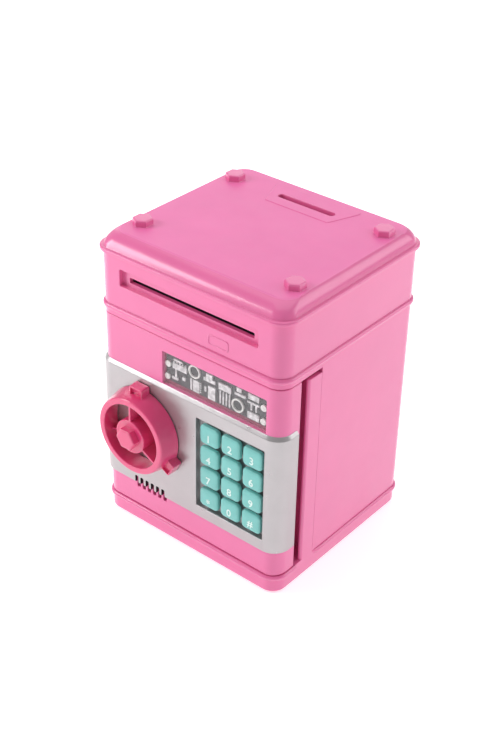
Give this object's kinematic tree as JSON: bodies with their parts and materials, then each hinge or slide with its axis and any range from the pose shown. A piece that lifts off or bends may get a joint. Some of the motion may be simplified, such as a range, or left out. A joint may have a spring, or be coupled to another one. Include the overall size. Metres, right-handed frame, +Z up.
{
  "type": "toy safe coin bank",
  "caption": "Toy safe money box with a hinged keypad door, a lobed handwheel that throws a latch bolt, a motor-fed banknote slot and a coin slot in the lid.",
  "frame": {"origin": "on the floor under the middle of the outline, handwheel and lid lip included", "axes": "+Z up, the door faces -Y, +X to the right seen from the front"},
  "size_m": [0.132, 0.139, 0.1852],
  "materials": {
    "pink_plastic": "glossy moulded",
    "wheel_pink": "glossy moulded",
    "silver_plastic": "satin silver paint",
    "turquoise_plastic": "satin moulded",
    "white_plastic": "moulded",
    "gear_nylon": "moulded nylon",
    "steel": "zinc plated",
    "black_rubber": "matte",
    "black_plastic": "moulded",
    "grey_rubber": "matte",
    "board_green": "solder mask",
    "clear_plastic": "clear, polished",
    "card_grey": "printed relief",
    "lamp_white": "diffused",
    "cell_wrap": "wrapped cell"
  },
  "bodies": {
    "housing": {"base_plinth": "pink_plastic", "body_shell": "pink_plastic", "head_housing": "pink_plastic", "top_lid": "pink_plastic", "lid_hex_caps": "pink_plastic", "mechanism_deck": "white_plastic", "coin_chute": "pink_plastic", "note_guide": "black_plastic", "note_deflector": "white_plastic", "left_bearing_plate": "white_plastic", "right_bearing_plate": "white_plastic", "feed_motor": "steel", "reduction_axle": "steel", "note_sensor": "black_plastic", "battery_box": "white_plastic", "battery_cells": "cell_wrap", "battery_contacts": "steel", "rubber_feet": "black_rubber", "case_screws": "steel", "base_screws": "steel", "hinge_pins": "steel", "strike_plate": "steel"},
    "battery_cover": {"battery_cover": "pink_plastic", "battery_cover_screw": "steel"},
    "door": {"door_shell": "pink_plastic", "fascia_plate": "silver_plastic", "window_lens": "clear_plastic", "window_card": "card_grey", "indicator_leds": "lamp_white", "key_membrane": "grey_rubber", "control_board": "board_green", "speaker": "black_plastic", "door_back_cover": "pink_plastic", "door_screws": "steel", "lock_solenoid": "steel", "plunger_spring": "steel"},
    "knob": {"knob_wheel": "wheel_pink", "knob_cap": "wheel_pink", "knob_spindle": "gear_nylon"},
    "latch_bolt": {"latch_bolt": "steel"},
    "lock_plunger": {"lock_plunger": "steel"},
    "feed_roller": {"feed_shaft": "steel", "feed_rollers": "black_rubber", "roller_gear": "gear_nylon"},
    "pinch_roller": {"pinch_shaft": "steel", "pinch_rollers": "black_rubber"},
    "reduction_gear": {"reduction_gear": "gear_nylon"},
    "motor_pinion": {"motor_pinion": "gear_nylon"},
    "key_1": {"key_1": "turquoise_plastic"},
    "key_2": {"key_2": "turquoise_plastic"},
    "key_3": {"key_3": "turquoise_plastic"},
    "key_4": {"key_4": "turquoise_plastic"},
    "key_5": {"key_5": "turquoise_plastic"},
    "key_6": {"key_6": "turquoise_plastic"},
    "key_7": {"key_7": "turquoise_plastic"},
    "key_8": {"key_8": "turquoise_plastic"},
    "key_9": {"key_9": "turquoise_plastic"},
    "key_star": {"key_star": "turquoise_plastic"},
    "key_0": {"key_0": "turquoise_plastic"},
    "key_hash": {"key_hash": "turquoise_plastic"}
  },
  "joints": [
    {"name": "door_hinge", "type": "hinge", "parent": "housing", "child": "door", "pos_m": [0.058, -0.0422, 0.0127], "axis": [0, 0, 1], "range_deg": [0, 110]},
    {"name": "knob_turn", "type": "hinge", "parent": "door", "child": "knob", "pos_m": [-0.0303, -0.0539, 0.0716], "axis": [0, 1, 0], "range_deg": [0, 75]},
    {"name": "latch_slide", "type": "slide", "parent": "door", "child": "latch_bolt", "axis": [-1, 0, 0], "range_m": [0, 0.0067]},
    {"name": "lock_plunger_slide", "type": "slide", "parent": "door", "child": "lock_plunger", "axis": [0, 0, -1], "range_m": [0, 0.003], "stiffness_N_per_m": 250, "springref_m": -0.0012, "deforming": ["plunger_spring"]},
    {"name": "battery_cover_lift", "type": "slide", "parent": "housing", "child": "battery_cover", "axis": [0, 0, -1], "range_m": [0, 0.012]},
    {"name": "feed_roller_spin", "type": "hinge", "parent": "housing", "child": "feed_roller", "pos_m": [0, -0.0282, 0.152], "axis": [1, 0, 0], "continuous": true},
    {"name": "pinch_roller_spin", "type": "hinge", "parent": "housing", "child": "pinch_roller", "pos_m": [0, -0.0282, 0.1638], "axis": [1, 0, 0], "continuous": true},
    {"name": "reduction_gear_spin", "type": "hinge", "parent": "housing", "child": "reduction_gear", "pos_m": [0.047, -0.01473, 0.15389], "axis": [1, 0, 0], "continuous": true},
    {"name": "motor_pinion_spin", "type": "hinge", "parent": "housing", "child": "motor_pinion", "pos_m": [0.05, 0.00118, 0.15557], "axis": [1, 0, 0], "continuous": true},
    {"name": "press_key_1", "type": "slide", "parent": "door", "child": "key_1", "axis": [0, 1, 0], "range_m": [0, 0.0015], "stiffness_N_per_m": 400, "springref_m": -0.0004},
    {"name": "press_key_2", "type": "slide", "parent": "door", "child": "key_2", "axis": [0, 1, 0], "range_m": [0, 0.0015], "stiffness_N_per_m": 400, "springref_m": -0.0004},
    {"name": "press_key_3", "type": "slide", "parent": "door", "child": "key_3", "axis": [0, 1, 0], "range_m": [0, 0.0015], "stiffness_N_per_m": 400, "springref_m": -0.0004},
    {"name": "press_key_4", "type": "slide", "parent": "door", "child": "key_4", "axis": [0, 1, 0], "range_m": [0, 0.0015], "stiffness_N_per_m": 400, "springref_m": -0.0004},
    {"name": "press_key_5", "type": "slide", "parent": "door", "child": "key_5", "axis": [0, 1, 0], "range_m": [0, 0.0015], "stiffness_N_per_m": 400, "springref_m": -0.0004},
    {"name": "press_key_6", "type": "slide", "parent": "door", "child": "key_6", "axis": [0, 1, 0], "range_m": [0, 0.0015], "stiffness_N_per_m": 400, "springref_m": -0.0004},
    {"name": "press_key_7", "type": "slide", "parent": "door", "child": "key_7", "axis": [0, 1, 0], "range_m": [0, 0.0015], "stiffness_N_per_m": 400, "springref_m": -0.0004},
    {"name": "press_key_8", "type": "slide", "parent": "door", "child": "key_8", "axis": [0, 1, 0], "range_m": [0, 0.0015], "stiffness_N_per_m": 400, "springref_m": -0.0004},
    {"name": "press_key_9", "type": "slide", "parent": "door", "child": "key_9", "axis": [0, 1, 0], "range_m": [0, 0.0015], "stiffness_N_per_m": 400, "springref_m": -0.0004},
    {"name": "press_key_star", "type": "slide", "parent": "door", "child": "key_star", "axis": [0, 1, 0], "range_m": [0, 0.0015], "stiffness_N_per_m": 400, "springref_m": -0.0004},
    {"name": "press_key_0", "type": "slide", "parent": "door", "child": "key_0", "axis": [0, 1, 0], "range_m": [0, 0.0015], "stiffness_N_per_m": 400, "springref_m": -0.0004},
    {"name": "press_key_hash", "type": "slide", "parent": "door", "child": "key_hash", "axis": [0, 1, 0], "range_m": [0, 0.0015], "stiffness_N_per_m": 400, "springref_m": -0.0004}
  ],
  "couplings": [
    {"joint": "latch_slide", "follows": "knob_turn", "m_per_rad": 0.005},
    {"joint": "pinch_roller_spin", "follows": "feed_roller_spin", "ratio": -1.3},
    {"joint": "reduction_gear_spin", "follows": "feed_roller_spin", "ratio": -2.4},
    {"joint": "motor_pinion_spin", "follows": "feed_roller_spin", "ratio": 7.2}
  ]
}
